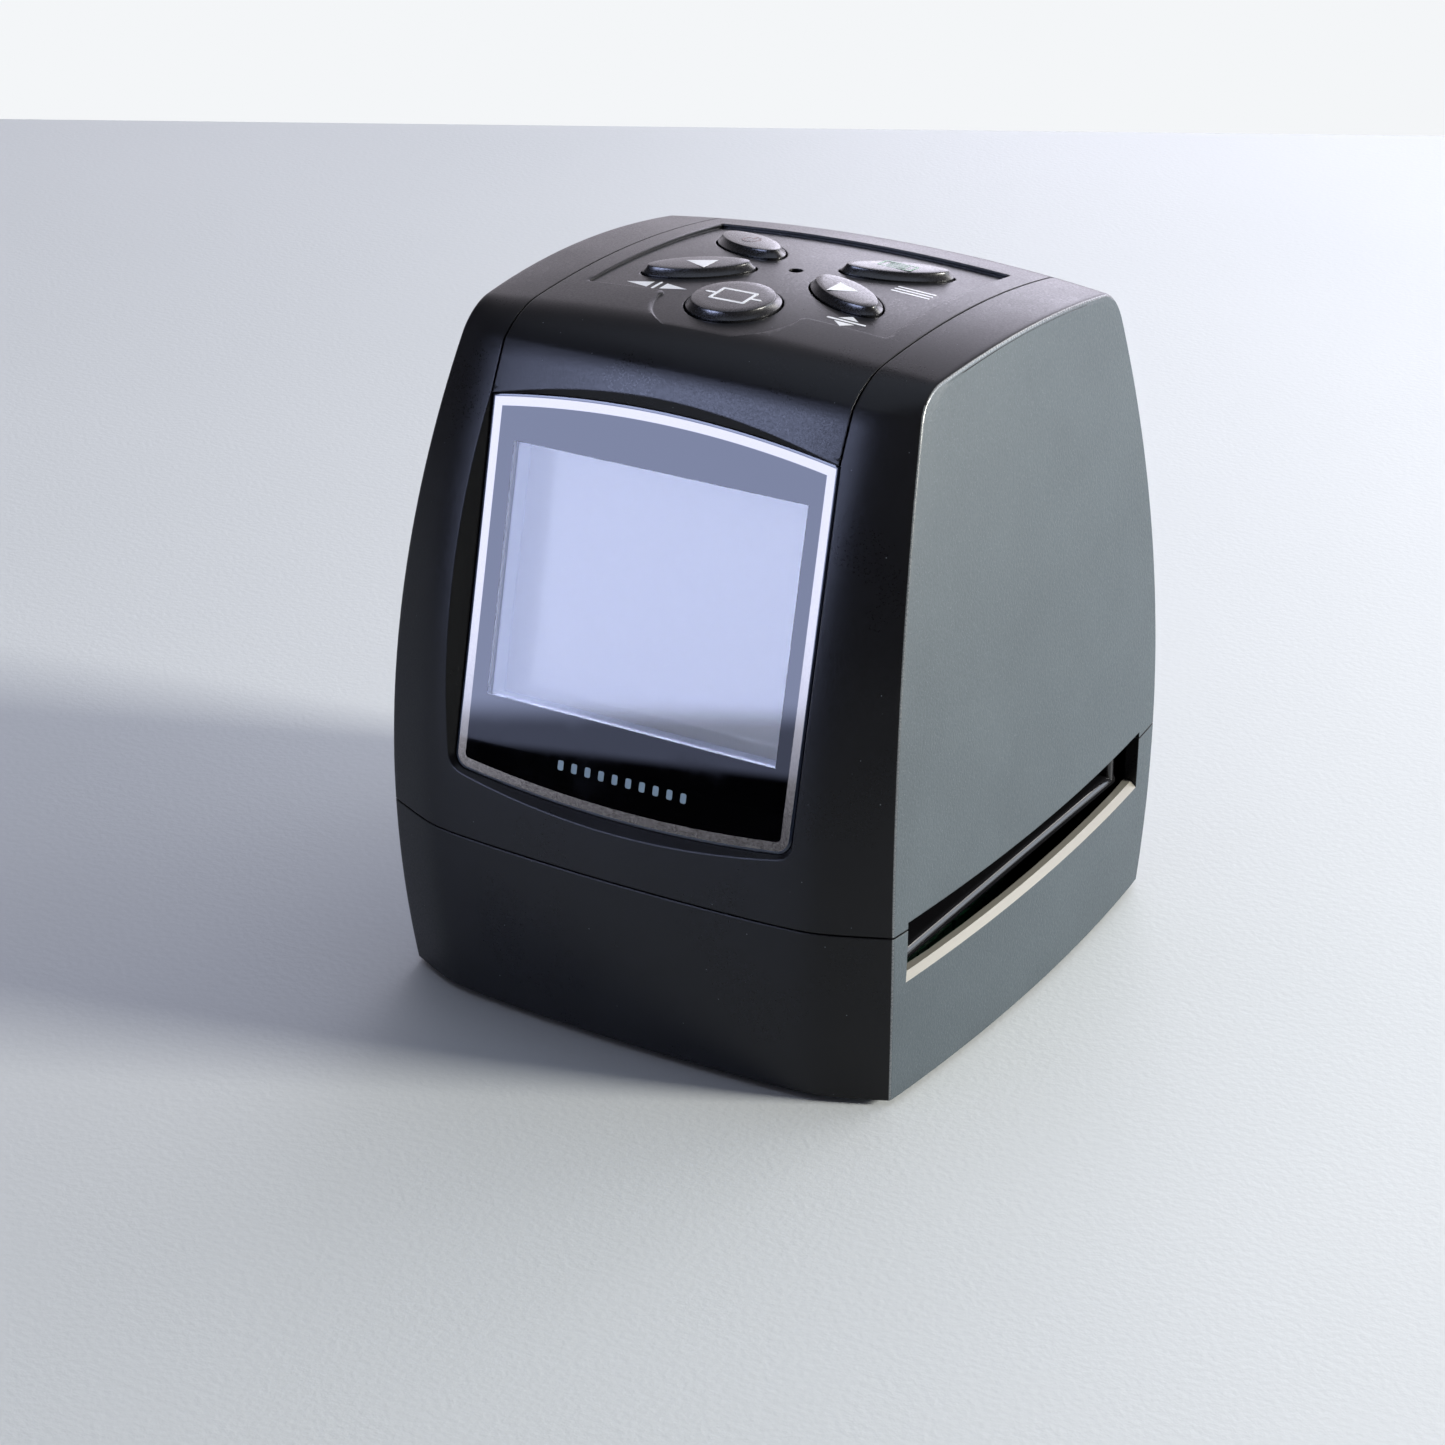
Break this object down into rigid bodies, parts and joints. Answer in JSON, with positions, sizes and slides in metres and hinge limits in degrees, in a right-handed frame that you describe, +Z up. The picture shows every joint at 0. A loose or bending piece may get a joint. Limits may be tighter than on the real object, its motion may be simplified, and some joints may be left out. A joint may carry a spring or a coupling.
{
  "type": "film negative scanner",
  "caption": "Desktop film negative scanner: bowed black box with a display window, keypad on the roof and a film slot through its base.",
  "frame": {"origin": "middle of the footprint, on the surface it stands on", "axes": "+Z up, -Y is the front with the display window, +X is the right side seen from the front; the film slot runs along X"},
  "size_m": [0.09, 0.0939, 0.1068],
  "materials": {
    "black_plastic": "fine spark-eroded satin",
    "gloss_black_plastic": "smooth gloss",
    "inner_black_plastic": "plain",
    "foot_rubber": "dull",
    "screw_steel": "zinc plated",
    "sheet_steel": "tinned sheet",
    "tinted_window": "clear window with a printed black border",
    "display_face": "polariser film, switched off",
    "pale_plastic": "plain",
    "plunger_plastic": "plain",
    "board_green": "solder resist",
    "clear_plastic": "polished",
    "led_body": "plain",
    "sensor_face": "coated cover",
    "white_plastic": "translucent white",
    "capacitor_can": "plain can"
  },
  "bodies": {
    "housing": {"base_shell": "black_plastic", "rubber_feet": "foot_rubber", "base_screws": "screw_steel", "main_shell": "black_plastic", "top_cover": "black_plastic", "cover_screws": "screw_steel", "display_window": "tinted_window", "display_spacer": "pale_plastic", "display_panel": "display_face", "display_bracket": "sheet_steel", "display_screws": "screw_steel", "push_switches": "inner_black_plastic", "key_board": "board_green", "key_screws": "screw_steel", "status_light": "clear_plastic", "status_led": "led_body", "tray_guide": "gloss_black_plastic", "film_gate": "gloss_black_plastic", "gate_screws": "screw_steel", "lens_tunnel": "inner_black_plastic", "tunnel_screws": "screw_steel", "lens_barrel": "inner_black_plastic", "lens_discs": "clear_plastic", "camera_holder": "inner_black_plastic", "camera_board": "board_green", "image_sensor": "sensor_face", "camera_screws": "screw_steel", "diffuser": "white_plastic", "light_box": "white_plastic", "light_board": "board_green", "light_leds": "led_body", "light_screws": "screw_steel", "main_board": "board_green", "board_screws": "screw_steel", "board_chips": "inner_black_plastic", "board_capacitors": "capacitor_can", "supply_socket": "sheet_steel", "card_socket": "sheet_steel", "picture_socket": "inner_black_plastic"},
    "power_key": {"power_button": "black_plastic", "power_plunger": "plunger_plastic"},
    "left_key": {"left_button": "black_plastic", "left_plunger": "plunger_plastic"},
    "scan_key": {"scan_button": "black_plastic", "scan_plunger": "plunger_plastic"},
    "right_key": {"right_button": "black_plastic", "right_plunger": "plunger_plastic"},
    "menu_key": {"menu_button": "black_plastic", "menu_plunger": "plunger_plastic"}
  },
  "joints": [
    {"name": "power_press", "type": "slide", "parent": "housing", "child": "power_key", "axis": [0, 0, -1], "range_m": [0, 0.0007], "stiffness_N_per_m": 1500, "springref_m": -0.0003},
    {"name": "left_press", "type": "slide", "parent": "housing", "child": "left_key", "axis": [0, 0, -1], "range_m": [0, 0.0007], "stiffness_N_per_m": 1500, "springref_m": -0.0003},
    {"name": "scan_press", "type": "slide", "parent": "housing", "child": "scan_key", "axis": [0, 0, -1], "range_m": [0, 0.0007], "stiffness_N_per_m": 1500, "springref_m": -0.0003},
    {"name": "right_press", "type": "slide", "parent": "housing", "child": "right_key", "axis": [0, 0, -1], "range_m": [0, 0.0007], "stiffness_N_per_m": 1500, "springref_m": -0.0003},
    {"name": "menu_press", "type": "slide", "parent": "housing", "child": "menu_key", "axis": [0, 0, -1], "range_m": [0, 0.0007], "stiffness_N_per_m": 1500, "springref_m": -0.0003}
  ]
}
